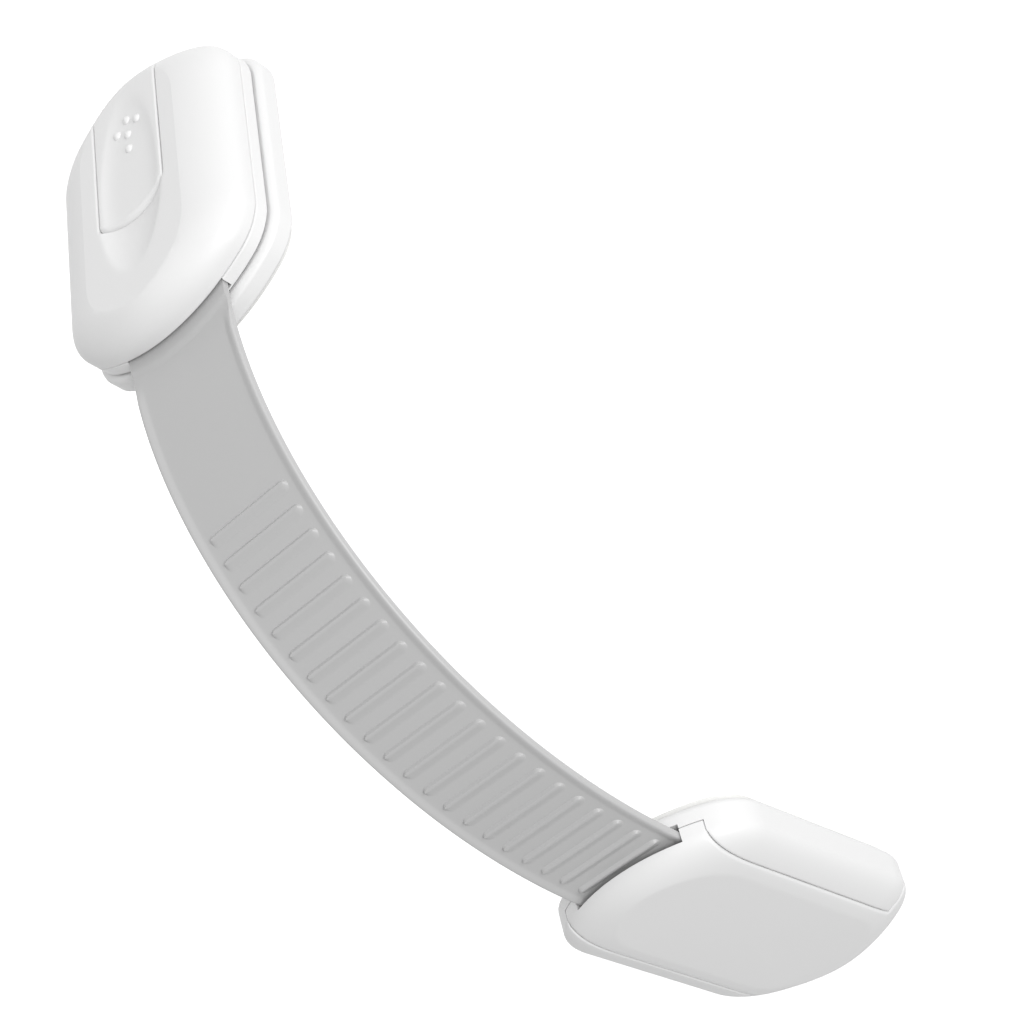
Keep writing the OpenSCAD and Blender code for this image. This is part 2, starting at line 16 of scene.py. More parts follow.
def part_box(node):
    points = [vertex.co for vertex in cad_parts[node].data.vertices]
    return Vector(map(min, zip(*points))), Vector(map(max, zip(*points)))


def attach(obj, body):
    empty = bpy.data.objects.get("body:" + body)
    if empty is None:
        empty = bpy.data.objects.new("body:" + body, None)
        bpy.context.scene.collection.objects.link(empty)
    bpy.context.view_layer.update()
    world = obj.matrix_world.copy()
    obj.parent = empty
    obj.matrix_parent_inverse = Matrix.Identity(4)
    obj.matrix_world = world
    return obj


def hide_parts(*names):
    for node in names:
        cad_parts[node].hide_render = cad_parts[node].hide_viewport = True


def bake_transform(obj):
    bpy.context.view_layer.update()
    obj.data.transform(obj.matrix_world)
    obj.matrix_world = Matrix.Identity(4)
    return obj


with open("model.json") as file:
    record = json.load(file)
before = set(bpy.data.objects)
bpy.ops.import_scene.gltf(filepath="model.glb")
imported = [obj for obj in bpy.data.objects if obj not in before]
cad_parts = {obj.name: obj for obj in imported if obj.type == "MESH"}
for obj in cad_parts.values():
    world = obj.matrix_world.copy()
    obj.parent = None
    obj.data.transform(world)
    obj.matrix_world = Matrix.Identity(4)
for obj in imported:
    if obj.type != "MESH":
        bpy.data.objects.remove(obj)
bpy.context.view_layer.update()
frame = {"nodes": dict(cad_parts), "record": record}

log = logging.getLogger("strap_lock")

# Shapes are modelled in millimetres and placed in metres
MM = 0.001
WELD = 0.001
# Edges that turn further than this stay sharp
SHARP_DEGREES = 35
Height = Callable[[float, float], float]


class Operation(Enum):
    """How one solid acts on another."""

    CUT = "DIFFERENCE"
    KEEP = "INTERSECT"
    ADD = "UNION"


def linear(hex_colour: str) -> tuple[float, float, float, float]:
    """Turns an sRGB hex colour into linear light.

    Args:
        hex_colour: Six hex digits, such as "E6E6E4".

    Returns:
        Linear red, green, blue and an alpha of one.
    """
    channels = [int(hex_colour[i : i + 2], 16) / 255 for i in (0, 2, 4)]
    red, green, blue = [c / 12.92 if c <= 0.04045 else ((c + 0.055) / 1.055) ** 2.4 for c in channels]
    return red, green, blue, 1.0


def add_node(tree: bpy.types.NodeTree, kind: str, settings: dict, links: dict) -> bpy.types.Node:
    """Adds a node to a tree.

    Args:
        tree: The node tree.
        kind: The node's type name.
        settings: Values by input name; a name starting with "." is a property of the node.
        links: Output sockets by input name.

    Returns:
        The new node.
    """
    node = tree.nodes.new(kind)
    for name, value in settings.items():
        if name.startswith("."):
            setattr(node, name[1:], value)
        else:
            node.inputs[name].default_value = value
    for name, socket in links.items():
        tree.links.new(socket, node.inputs[name])
    return node


@dataclass(frozen=True)
class Finish:
    """A surface finish with a fine moulded or foamed grain."""

    name: str
    colour: str
    slot: str
    roughness: float
    ior: float = 1.5
    metallic: float = 0.0
    grain_mm: float = 0.5
    grain_depth_mm: float = 0.0
    roughness_spread: float = 0.0

    def material(self) -> bpy.types.Material:
        """Makes the finish's material, or returns it if it has been made.

        Returns:
            The material.
        """
        known = bpy.data.materials.get(self.name)
        if known:
            return known
        material = bpy.data.materials.new(self.name)
        material.use_nodes = True
        tree = material.node_tree
        shader = tree.nodes["Principled BSDF"]
        shader.inputs["Base Color"].default_value = linear(self.colour)
        shader.inputs["Roughness"].default_value = self.roughness
        shader.inputs["Metallic"].default_value = self.metallic
        if not self.metallic:
            shader.inputs["IOR"].default_value = self.ior
        place = add_node(tree, "ShaderNodeTexCoord", {}, {})
        grain = add_node(
            tree,
            "ShaderNodeTexNoise",
            {"Scale": 1 / (self.grain_mm * MM), "Detail": 2.0},
            {"Vector": place.outputs["Object"]},
        )
        if self.roughness_spread:
            spread = add_node(
                tree,
                "ShaderNodeMapRange",
                {
                    "To Min": self.roughness - self.roughness_spread,
                    "To Max": self.roughness + self.roughness_spread,
                },
                {"Value": grain.outputs["Fac"]},
            )
            tree.links.new(spread.outputs["Result"], shader.inputs["Roughness"])
        if self.grain_depth_mm:
            bump = add_node(
                tree,
                "ShaderNodeBump",
                {"Strength": 1.0, "Distance": self.grain_depth_mm * MM},
                {"Height": grain.outputs["Fac"]},
            )
            tree.links.new(bump.outputs["Normal"], shader.inputs["Normal"])
        return material


# Moulded ABS with a fine eroded skin: broad soft highlights, no mirror reflections
WHITE_ABS = Finish("moulded white ABS", "E4E4E4", "white_plastic", 0.42, 1.53, 0.0, 0.35, 0.004, 0.05)
# Moulded soft polypropylene: mid grey, duller than the shells, slightly waxy
STRAP_PP = Finish("moulded grey polypropylene", "B9B9B9", "strap_plastic", 0.4, 1.49, 0.0, 0.6, 0.006, 0.06)
# Closed-cell polyethylene foam: off white and matt with fine cells
FOAM = Finish("polyethylene foam tape", "E6E6E4", "foam_tape", 0.9, 1.45, 0.0, 0.3, 0.06)
# Drawn steel wire and pressed screws: grey metal with a soft sheen
STEEL = Finish("drawn steel", "A9ABAE", "steel", 0.32, 1.5, 1.0, 0.25, 0.0, 0.08)


class Solid:
    """A closed mesh under work, in millimetres."""

    def __init__(self, mesh: BMesh) -> None:
        """Takes over a bmesh.

        Args:
            mesh: The bmesh.
        """
        self.mesh = mesh

    @classmethod
    def box(cls, low: tuple, high: tuple) -> "Solid":
        """Makes a box.

        Args:
            low: The lowest corner.
            high: The highest corner.

        Returns:
            The box.
        """
        low, high = Vector(low), Vector(high)
        mesh = bmesh.new()
        bmesh.ops.create_cube(mesh, size=1)
        bmesh.ops.scale(mesh, vec=high - low, verts=mesh.verts)
        bmesh.ops.translate(mesh, vec=(low + high) / 2, verts=mesh.verts)
        return cls(mesh)

    @classmethod
    def rod(cls, base: tuple, radius: float, height: float, axis: str = "Z", sides: int = 64) -> "Solid":
        """Makes a cylinder.

        Args:
            base: The middle of its lower end, or of its whole length along X.
            radius: Its radius.
            height: Its length.
            axis: "Z" for an upright rod, "X" for one across the pad.
            sides: How many sides stand for the round face.

        Returns:
            The cylinder.
        """
        mesh = bmesh.new()
        bmesh.ops.create_cone(
            mesh, cap_ends=True, segments=sides, radius1=radius, radius2=radius, depth=height
        )
        if axis == "X":
            across = Matrix.Rotation(math.pi / 2, 3, "Y")
            bmesh.ops.rotate(mesh, cent=(0, 0, 0), matrix=across, verts=mesh.verts)
            middle = Vector(base)
        else:
            middle = Vector(base) + Vector((0, 0, height / 2))
        bmesh.ops.translate(mesh, vec=middle, verts=mesh.verts)
        return cls(mesh)

    def mirrored(self) -> "Solid":
        """Adds the mirror image across the pad's middle, which the solid doesn't reach.

        Returns:
            This solid.
        """
        geometry = self.mesh.verts[:] + self.mesh.edges[:] + self.mesh.faces[:]
        bmesh.ops.mirror(self.mesh, geom=geometry, matrix=Matrix.Identity(4), merge_dist=-1.0, axis="X")
        bmesh.ops.recalc_face_normals(self.mesh, faces=self.mesh.faces)
        return self

    def beside(self, *others: "Solid") -> "Solid":
        """Takes in solids that don't touch this one.

        Args:
            others: The other solids.

        Returns:
            This solid.
        """
        for other in others:
            data = bpy.data.meshes.new("beside")
            other.mesh.to_mesh(data)
            self.mesh.from_mesh(data)
            bpy.data.meshes.remove(data)
        return self

    def work(self, how: Operation, *tools: "Solid") -> "Solid":
        """Cuts, keeps or adds other solids.

        Args:
            how: What each tool does.
            tools: The other solids.

        Returns:
            This solid.
        """
        for tool in tools:
            target_object = self._loose_object("target")
            tool_object = tool._loose_object("tool")
            modifier = target_object.modifiers.new("work", "BOOLEAN")
            modifier.operation = how.value
            modifier.solver = "EXACT"
            modifier.object = tool_object
            result = bmesh.new()
            result.from_object(target_object, bpy.context.evaluated_depsgraph_get())
            bmesh.ops.remove_doubles(result, verts=result.verts, dist=WELD)
            bmesh.ops.dissolve_degenerate(result, dist=WELD, edges=result.edges)
            self.mesh = result
            for used in (target_object, tool_object):
                data = used.data
                bpy.data.objects.remove(used)
                bpy.data.meshes.remove(data)
        return self

    def _loose_object(self, name: str) -> bpy.types.Object:
        """Makes a passing object with this mesh.

        Args:
            name: Its name.

        Returns:
            The object.
        """
        data = bpy.data.meshes.new(name)
        self.mesh.to_mesh(data)
        item = bpy.data.objects.new(name, data)
        bpy.context.scene.collection.objects.link(item)
        return item

    def scored(self, axis: int, places: list[float]) -> "Solid":
        """Adds edge loops where planes cut the solid.

        Args:
            axis: The axis that the planes stand across, 0 for X and 1 for Y.
            places: Where the planes are.

        Returns:
            This solid.
        """
        for place in places:
            point, normal = Vector(), Vector()
            point[axis], normal[axis] = place, 1.0
            geometry = self.mesh.verts[:] + self.mesh.edges[:] + self.mesh.faces[:]
            bmesh.ops.bisect_plane(self.mesh, geom=geometry, dist=WELD, plane_co=point, plane_no=normal)
        return self

    def raised(self, above: float, height: Callable[[Vector], float]) -> "Solid":
        """Gives the upper face new heights, at most halfway down to where its roll starts.

        Args:
            above: The level that the upper face lies above.
            height: The new height of a place.

        Returns:
            This solid.
        """
        for vert in self.mesh.verts:
            if vert.co.z > above + WELD:
                vert.co.z = max(height(vert.co), (vert.co.z + above) / 2)
        return self

    def piece(self, name: str, place: Matrix, finish: Finish) -> bpy.types.Object:
        """Turns the solid into a finished piece.

        Args:
            name: The piece's name.
            place: Where the solid's own frame sits, in metres.
            finish: What it is made of.

        Returns:
            The piece, at the origin and unturned.
        """
        mesh = self.mesh
        bmesh.ops.transform(mesh, matrix=place @ Matrix.Scale(MM, 4), verts=mesh.verts)
        least = math.radians(SHARP_DEGREES)
        for face in mesh.faces:
            face.smooth = True
        for edge in mesh.edges:
            edge.smooth = not edge.is_manifold or edge.calc_face_angle() < least
        data = bpy.data.meshes.new(name)
        mesh.to_mesh(data)
        mesh.free()
        item = bpy.data.objects.new(name, data)
        bpy.context.scene.collection.objects.link(item)
        normals = item.modifiers.new("even shading", "WEIGHTED_NORMAL")
        normals.keep_sharp = True
        item.data.materials.append(finish.material())
        log.info("%s: %d faces", name, len(data.polygons))
        return item


@dataclass
class Pad:
    """Sizes of a pillow-shaped pad and the means to make it; its front is the +Y end."""

    width: float
    length: float
    low: float
    roll_low: float
    top: float
    side_roll: float
    front_roll: float
    back_roll: float
    foot: float = 0.0
    end_radius: float = 26.0
    corner_radius: float = 8.0
    roll_turn: float = 70.0
    side_cuts: int = 24
    corner_steps: int = 14
    end_steps: int = 18
    roll_steps: int = 14
    foot_steps: int = 6
    inner_reach: float = 0.98

    def _outline(self, mesh: BMesh) -> None:
        """Draws the pad's outline at height zero: a quarter of it, mirrored twice.

        Args:
            mesh: The bmesh, still empty.
        """
        corner_x = self.width / 2 - self.corner_radius
        end_y = self.length / 2 - self.end_radius
        rise = math.sqrt((self.end_radius - self.corner_radius) ** 2 - corner_x**2)
        turn = math.atan2(rise, corner_x)
        start = mesh.verts.new((self.width / 2, end_y + rise, 0))
        arcs = (
            (Vector((corner_x, end_y + rise, 0)), turn, self.corner_steps),
            (Vector((0, end_y, 0)), math.pi / 2 - turn, self.end_steps),
        )
        last = start
        for centre, angle, steps in arcs:
            swept = bmesh.ops.spin(mesh, geom=[last], cent=centre, axis=(0, 0, 1), angle=angle, steps=steps)
            last = next(item for item in swept["geom_last"] if isinstance(item, BMVert))
        side = mesh.edges.new((mesh.verts.new((self.width / 2, 0, 0)), start))
        bmesh.ops.subdivide_edges(mesh, edges=[side], cuts=self.side_cuts)
        for axis in ("X", "Y"):
            geometry = mesh.verts[:] + mesh.edges[:]
            bmesh.ops.mirror(mesh, geom=geometry, matrix=Matrix.Identity(4), merge_dist=WELD, axis=axis)
        bmesh.ops.remove_doubles(mesh, verts=mesh.verts, dist=WELD)

    def _rings(self, inner_rings: int) -> list[tuple[float, float, float, float]]:
        """Lists the rings from the foot up.

        Args:
            inner_rings: How many rings divide the flat top.

        Returns:
            For each ring its height and how far it is drawn in at the sides, the front and the back.
        """
        rings = []
        foot_steps = self.foot_steps if self.foot else 0
        for step in range(foot_steps + 1):
            angle = math.pi / 2 * step / max(1, foot_steps)
            drawn = self.foot * (1 - math.sin(angle))
            rings.append((self.low + self.foot * (1 - math.cos(angle)), drawn, drawn, drawn))
        turn = math.radians(self.roll_turn)
        for step in range(self.roll_steps + 1):
            angle = turn * step / self.roll_steps
            drawn = (1 - math.cos(angle)) / (1 - math.cos(turn))
            height = self.roll_low + (self.top - self.roll_low) * math.sin(angle) / math.sin(turn)
            rings.append((height, self.side_roll * drawn, self.front_roll * drawn, self.back_roll * drawn))
        flat_half = self.width / 2 - self.side_roll
        flat_reach = (self.length - self.front_roll - self.back_roll) / 2
        for step in range(1, inner_rings + 1):
            share = self.inner_reach * step / inner_rings
            side = self.side_roll + flat_half * share
            front = self.front_roll + flat_reach * share
            rings.append((self.top, side, front, self.back_roll + flat_reach * share))
        return rings

    def solid(self, inner_rings: int = 1) -> Solid:
        """Makes the pad.

        Args:
            inner_rings: How many rings divide the flat top.

        Returns:
            The closed pad.
        """
        mesh = bmesh.new()
        self._outline(mesh)
        rim: list[BMEdge] = mesh.edges[:]
        verts: list[BMVert] = mesh.verts[:]
        width, length, shift, height = self.width, self.length, 0.0, 0.0
        bottom: list[BMEdge] = []
        for ring_height, side, front, back in self._rings(inner_rings):
            if bottom:
                grown = bmesh.ops.extrude_edge_only(mesh, edges=rim)["geom"]
                rim = [item for item in grown if isinstance(item, BMEdge)]
                verts = [item for item in grown if isinstance(item, BMVert)]
                rim = [edge for edge in rim if edge.verts[0] in set(verts) and edge.verts[1] in set(verts)]
            ring_width, ring_length = self.width - 2 * side, self.length - front - back
            ring_shift = (back - front) / 2
            bmesh.ops.scale(
                mesh,
                vec=(ring_width / width, ring_length / length, 1),
                space=Matrix.Translation((0, -shift, 0)),
                verts=verts,
            )
            bmesh.ops.translate(mesh, vec=(0, ring_shift - shift, ring_height - height), verts=verts)
            width, length, shift, height = ring_width, ring_length, ring_shift, ring_height
            bottom = bottom or rim
        bmesh.ops.edgeloop_fill(mesh, edges=bottom)
        bmesh.ops.edgeloop_fill(mesh, edges=rim)
        bmesh.ops.recalc_face_normals(mesh, faces=mesh.faces)
        return Solid(mesh)


def edge_loops(seam: float, way: int, radius: float) -> list[float]:
    """Finds where loops lie beside a seam so that they can take a rounded edge.

    Args:
        seam: Where the seam is.
        way: 1 if the rounding lies beyond the seam, -1 if it lies before it.
        radius: The rounding's radius.

    Returns:
        The loops' places.
    """
    shares = (0.15, 0.35, 0.65, 1.0)
    return [seam + way * share * radius for share in shares]


def round_drop(inside: float, radius: float) -> float:
    """Finds how far a rounded edge sinks a surface.

    Args:
        inside: The distance inside the edge.
        radius: The rounding's radius.

    Returns:
        The sink.
    """
    short = radius - min(radius, max(0.0, inside))
    return radius - math.sqrt(radius**2 - short**2)


def soft_least(a: float, b: float, blend: float = 0.16) -> float:
    """Finds the lesser of two heights, with a rounded change from one to the other.

    Args:
        a: One height.
        b: The other height.
        blend: How wide the change is.

    Returns:
        The height.
    """
    return (a + b - math.sqrt((a - b) ** 2 + blend**2)) / 2


@dataclass
class Adjuster:
    """The pad that holds the strap's tail: tape, base with cheeks, and flip lid."""

    tape: float = 1.0
    top: float = 9.05
    roll_height: float = 3.75
    floor: float = 2.6
    bed_top: float = 4.2
    bed_half: float = 9.0
    lid_half: float = 12.75
    lid_wall: float = 1.4
    lid_edge: float = 3.95
    lid_end_length: float = 7.4
    lid_end_low: float = 5.17
    ceiling: float = 7.2
    notch_half: float = 9.7
    notch_top: float = 5.9
    mouth_depth: float = 4.9
    rail_width: float = 1.2
    rail_top: float = 4.9
    rail_front: float = 14.3
    bed_front: float = 11.3
    bed_back: float = -17.3
    sill: float = 0.6
    foot: float = 1.2
    side_roll: float = 7.6
    front_roll: float = 4.0
    back_roll: float = 2.5
    bed_sink: float = 0.1
    hollow_lap: float = 0.2
    tape_inset: float = 1.5
    tape_edge: float = 0.1
    hinge_back: float = 2.75
    hinge_height: float = 5.3
    barrel: float = 2.6
    barrel_sweep: float = 0.7
    pin: float = 0.85
    post_x: float = 6.0
    post_width: float = 2.2
    post_radius: float = 2.2
    gap: float = 0.15
    edge: float = 0.4
    far: float = 60.0
    low: Vector = field(default_factory=lambda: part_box("adjuster_base")[0])
    high: Vector = field(default_factory=lambda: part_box("adjuster_base")[1])

    def pad(self) -> Pad:
        """Returns the form that base and lid are cut from."""
        width = (self.high[0] - self.low[0]) / MM
        length = (self.high[1] - self.low[1]) / MM
        rolls = (self.side_roll, self.front_roll, self.back_roll)
        return Pad(width, length, self.tape, self.top - self.roll_height, self.top, *rolls, self.foot)

    def lid_space(self, gap: float) -> Solid:
        """Makes the space that the lid takes.

        Args:
            gap: How far it is grown.

        Returns:
            The space.
        """
        far = self.far
        half = self.lid_half + gap
        strip = Solid.box((-half, self.hinge_y, self.lid_edge - gap), (half, far, far))
        end = Solid.box((-far, -far, self.lid_end_low - gap), (far, self.lid_end_y + gap, far))
        return strip.work(Operation.ADD, end)

    @property
    def hinge_y(self) -> float:
        """Place of the lid's hinge along the pad."""
        return -self.pad().length / 2 + self.hinge_back

    @property
    def lid_end_y(self) -> float:
        """Place along the pad where the lid's full-width end meets the cheeks."""
        return -self.pad().length / 2 + self.lid_end_length

    def hinge_rod(self, radius: float, half: float) -> Solid:
        """Makes a rod on the hinge's axis.

        Args:
            radius: Its radius.
            half: How far it reaches to each side.

        Returns:
            The rod.
        """
        return Solid.rod((0, self.hinge_y, self.hinge_height), radius, 2 * half, "X")

    def post_rods(self, radius: float, gap: float) -> Solid:
        """Makes the two rods that the hinge posts end in.

        Args:
            radius: Their radius.
            gap: How far their ends are grown.

        Returns:
            Both rods.
        """
        middle = self.post_x + self.post_width / 2
        rod = Solid.rod((middle, self.hinge_y, self.hinge_height), radius, self.post_width + 2 * gap, "X")
        return rod.mirrored()

    def base(self) -> Solid:
        """Returns the base: floor, cheeks, strap bed, rails and hinge posts."""
        far = self.far
        inner = self.lid_half - self.lid_wall
        side = self.lid_half + self.gap
        end = self.lid_end_y + self.gap
        loops = edge_loops(side, 1, self.edge)
        shell = self.pad().solid().scored(0, loops + [-place for place in loops])
        shell.scored(1, edge_loops(end, 1, self.edge))
        sweep = self.hinge_rod(self.barrel + self.barrel_sweep, side)
        shell.work(Operation.CUT, self.lid_space(self.gap).work(Operation.ADD, sweep))
        mouth_y = self.pad().length / 2 - self.mouth_depth
        shell.work(
            Operation.CUT,
            Solid.box((-inner, self.hinge_y, self.floor), (inner, mouth_y, far)),
            Solid.box((-self.notch_half, 0, self.floor + self.sill), (self.notch_half, far, far)),
        )
        bed = Solid.box(
            (-self.bed_half, self.bed_back, self.floor - self.bed_sink),
            (self.bed_half, self.bed_front, self.bed_top),
        )
        rails = Solid.box(
            (self.notch_half, self.bed_back, self.floor - self.bed_sink),
            (self.notch_half + self.rail_width, self.rail_front, self.rail_top),
        ).mirrored()
        foot = Solid.box(
            (self.post_x, self.hinge_y - self.post_radius, self.tape),
            (self.post_x + self.post_width, self.hinge_y + self.post_radius, self.hinge_height),
        ).mirrored()
        posts = self.post_rods(self.post_radius, 0.0).work(Operation.ADD, foot)
        inside = self.pad()
        inside.width -= self.gap
        inside.length -= self.gap
        posts.work(Operation.KEEP, inside.solid())
        shell.work(Operation.ADD, bed, rails, posts)
        shell.work(Operation.CUT, self.hinge_rod(self.pin, self.post_x + self.post_width + self.gap))
        return shell.raised(self.top - self.roll_height, self.cheek_top)

    def cheek_top(self, at: Vector) -> float:
        """Finds the height of a cheek's upper face, which is rounded along the lid's seams.

        Args:
            at: A place on the plain pad.

        Returns:
            The height there.
        """
        inside = min(abs(at.x) - self.lid_half, at.y - self.lid_end_y) - self.gap
        return at.z - round_drop(inside, self.edge) if inside > -WELD else at.z

    def lid(self) -> Solid:
        """Returns the lid: roof, walls, full-width end and hinge barrel."""
        far = self.far
        inner = self.lid_half - self.lid_wall
        space = self.lid_space(0.0).work(Operation.ADD, self.hinge_rod(self.barrel, self.lid_half))
        loops = edge_loops(self.lid_half, -1, self.edge)
        shell = self.pad().solid().scored(0, loops + [-place for place in loops])
        shell.scored(1, edge_loops(self.lid_end_y, -1, self.edge))
        shell.raised(self.top - self.roll_height, self.lid_top)
        shell.work(Operation.KEEP, space)
        hollow_back = self.hinge_y + self.barrel + self.lid_wall - self.hollow_lap
        mouth_y = self.pad().length / 2 - self.mouth_depth
        post_room = Solid.box(
            (self.post_x - self.gap, -far, 0),
            (
                self.post_x + self.post_width + self.gap,
                self.hinge_y + self.post_radius + self.gap,
                self.hinge_height,
            ),
        ).mirrored()
        shell.work(
            Operation.CUT,
            Solid.box((-inner, hollow_back, 0), (inner, mouth_y, self.ceiling)),
            Solid.box((-self.notch_half, 0, 0), (self.notch_half, far, self.notch_top)),
            self.post_rods(self.post_radius + self.gap, self.gap),
            post_room,
            self.hinge_rod(self.pin, self.post_x + self.post_width),
        )
        return shell

    def lid_top(self, at: Vector) -> float:
        """Finds the height of the lid's upper face, which is rounded along its seams.

        Args:
            at: A place on the plain pad.

        Returns:
            The height there.
        """
        beside = self.lid_half - abs(at.x)
        behind = self.lid_end_y - at.y
        inside = math.hypot(beside, behind) if min(beside, behind) > 0 else max(beside, behind)
        return at.z - round_drop(inside, self.edge)

    def build(self) -> None:
        """Makes the pad's pieces and puts them on their bodies."""
        here = Matrix.Identity(4)
        base = self.base().piece("adjuster_base_shell", here, WHITE_ABS)
        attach(base, "root")
        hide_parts("adjuster_base")
        lid = self.lid().piece("adjuster_lid_shell", here, WHITE_ABS)
        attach(lid, "lid")
        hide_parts("adjuster_lid")
        inset, edge = self.tape_inset, self.tape_edge
        pad = self.pad()
        sizes = (pad.width - 2 * inset, pad.length - 2 * inset)
        tape_form = Pad(*sizes, 0, self.tape - edge, self.tape, edge, edge, edge)
        tape_form.end_radius -= inset
        tape_form.corner_radius -= inset
        tape_form.roll_steps = 2
        tape = tape_form.solid().piece("adjuster_tape_pad", here, FOAM)
        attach(tape, "root")
        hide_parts("adjuster_tape")


@dataclass
class Latch:
    """The pad with the release button: tape, base plate, bottom plate, cover and button."""

    width: float = 35.0
    length: float = 47.8
    tape: float = 1.0
    plate_lip: float = 1.0
    plate_top: float = 4.3
    bottom_low: float = 4.6
    cover_low: float = 6.6
    cover_top: float = 12.85
    cover_roll: float = 5.0
    side_roll: float = 7.5
    end_roll: float = 2.7
    wall: float = 2.2
    hollow_top: float = 10.1
    button_half: float = 6.6
    button_reach: float = 4.9
    arch_radius: float = 15.0
    arch_corner: float = 0.9
    skirt: float = 21.3
    dish_y: float = 1.6
    dish_half_length: float = 17.1
    cover_dish_half: float = 6.75
    cover_dish_depth: float = 1.35
    cover_dish_edge: float = 3.0
    button_dish_half: float = 5.75
    button_dish_depth: float = 0.55
    button_dish_edge: float = 5.0
    dot: float = 1.5
    dot_sink: float = 0.2
    channel_half: float = 9.7
    channel_floor: float = 4.94
    root_end: float = -6.0
    keeper_y: float = 8.0
    keeper: float = 1.1
    window_half: float = 3.6
    window_low_y: float = 3.6
    screw_x: float = 12.5
    screw_y: float = 11.0
    screw_hole: float = 0.9
    screw_head: float = 1.8
    screw_sink: float = 0.9
    peg_x: float = 9.0
    peg_y: float = 13.0
    peg: float = 1.5
    peg_hole: float = 1.7
    peg_height: float = 2.1
    peg_sink: float = 0.2
    strap_peg_x: float = 5.0
    strap_peg_back: float = 5.0
    strap_peg: float = 1.4
    strap_peg_height: float = 1.6
    strap_peg_sink: float = 0.1
    bottom_edge: float = 0.25
    bottom_foot: float = 0.3
    plate_roll: float = 1.0
    plate_foot: float = 0.5
    hollow_edge: float = 0.1
    root_room: float = 0.2
    window_room: float = 1.0
    keeper_shelf: float = 1.2
    skirt_rise: float = 0.2
    skirt_gap: float = 0.5
    tape_inset: float = 1.5
    tape_edge: float = 0.1
    dots: tuple = ((0, 14.3), (2.1, 12.8), (-2.1, 12.8), (0, 11.3), (0, 8.4))
    gap: float = 0.15
    edge: float = 0.35
    rings: int = 56
    end_slope: float = 0.8
    end_drop: float = 0.85
    end_step: float = 0.12
    end_loops: int = 20
    spring_inset: float = 1.1
    spring_half: float = 3.0
    spring_reach: float = 9.0
    spring_room: float = 1.85
    far: float = 60.0

    def place(self) -> Matrix:
        """Returns the latch's own frame: its adhesive face's middle, +Y away from the strap."""
        mount = next(m for m in frame["record"]["mounts"] if m["name"] == "latch_face")
        origin = Vector(mount["pos_m"])
        out = -Vector(mount["axis"]).normalized()
        across = Vector((1, 0, 0))
        along = out.cross(across)
        return Matrix.Translation(origin) @ Matrix((across, along, out)).transposed().to_4x4()

    def pad(self) -> Pad:
        """Returns the form that cover and button are cut from."""
        return Pad(
            self.width,
            self.length,
            self.cover_low,
            self.cover_top - self.cover_roll,
            self.cover_top,
            self.side_roll,
            self.end_roll,
            self.end_roll,
            self.edge,
        )

    def dish(self, half: float, depth: float, edge: float) -> Height:
        """Gives the thumb dish's surface, a bowl with a flat middle and a steep edge.

        Args:
            half: Half its width.
            depth: How deep its middle lies.
            edge: How steep its edge is against its middle.

        Returns:
            A function of a place that gives the dish's height.
        """

        def height(x: float, y: float) -> float:
            out = math.hypot(x / half, (y - self.dish_y) / self.dish_half_length)
            return self.cover_top - depth * (1 - out**edge)

        return height

    def button_top(self, at: Vector) -> float:
        """Finds the height of the button's upper face, which falls away towards its inner end.

        Args:
            at: A place on the plain pad.

        Returns:
            The height there.
        """
        dish = self.dish(self.button_dish_half, self.button_dish_depth, self.button_dish_edge)
        height = soft_least(at.z, dish(at.x, at.y)) - round_drop(self.button_half - abs(at.x), self.edge)
        arch_y = self.arch_radius - self.button_reach
        inside = self.arch_radius - math.hypot(at.x, min(0.0, at.y - arch_y))
        short = 1 - min(1.0, max(0.0, inside / self.end_slope))
        return height - self.end_drop * short**2

    def cover_top_at(self, at: Vector) -> float:
        """Finds the height of the cover's upper face, rounded along the button's sides.

        Args:
            at: A place on the plain pad.

        Returns:
            The height there.
        """
        dish = self.dish(self.cover_dish_half, self.cover_dish_depth, self.cover_dish_edge)
        height = soft_least(at.z, dish(at.x, at.y))
        corner_y = self.arch_radius - self.button_reach - math.sqrt(self.arch_radius**2 - self.button_half**2)
        beside = abs(at.x) - self.button_half - self.gap
        fade = min(1.0, max(0.0, (at.y - corner_y) / self.end_slope))
        return height - round_drop(beside, self.edge) * fade

    def button_prism(self, gap: float) -> Solid:
        """Makes an upright prism on the button's plan.

        Args:
            gap: How far it is grown.

        Returns:
            The prism.
        """
        mesh = bmesh.new()
        radius = self.arch_radius + gap
        half = self.button_half + gap
        arch_y = -self.button_reach + self.arch_radius
        spread = math.asin(half / radius)
        start = mesh.verts.new((half, arch_y - radius * math.cos(spread), 0))
        bmesh.ops.spin(mesh, geom=[start], cent=(0, arch_y, 0), axis=(0, 0, 1), angle=-2 * spread, steps=24)
        ends = [v for v in mesh.verts if len(v.link_edges) == 1]
        tops = [mesh.verts.new((v.co.x, self.far, 0)) for v in ends]
        for end, far_end in zip(ends, tops):
            mesh.edges.new((end, far_end))
        mesh.edges.new(tops)
        bmesh.ops.bevel(
            mesh,
            geom=ends,
            offset=self.arch_corner,
            offset_type="OFFSET",
            segments=5,
            profile=0.5,
            affect="VERTICES",
            clamp_overlap=True,
            material=-1,
        )
        bmesh.ops.edgeloop_fill(mesh, edges=mesh.edges[:])
        raised = bmesh.ops.extrude_face_region(mesh, geom=mesh.faces[:])["geom"]
        lifted = [item for item in raised if isinstance(item, BMVert)]
        bmesh.ops.translate(mesh, vec=(0, 0, self.far), verts=lifted)
        bmesh.ops.recalc_face_normals(mesh, faces=mesh.faces)
        return Solid(mesh)

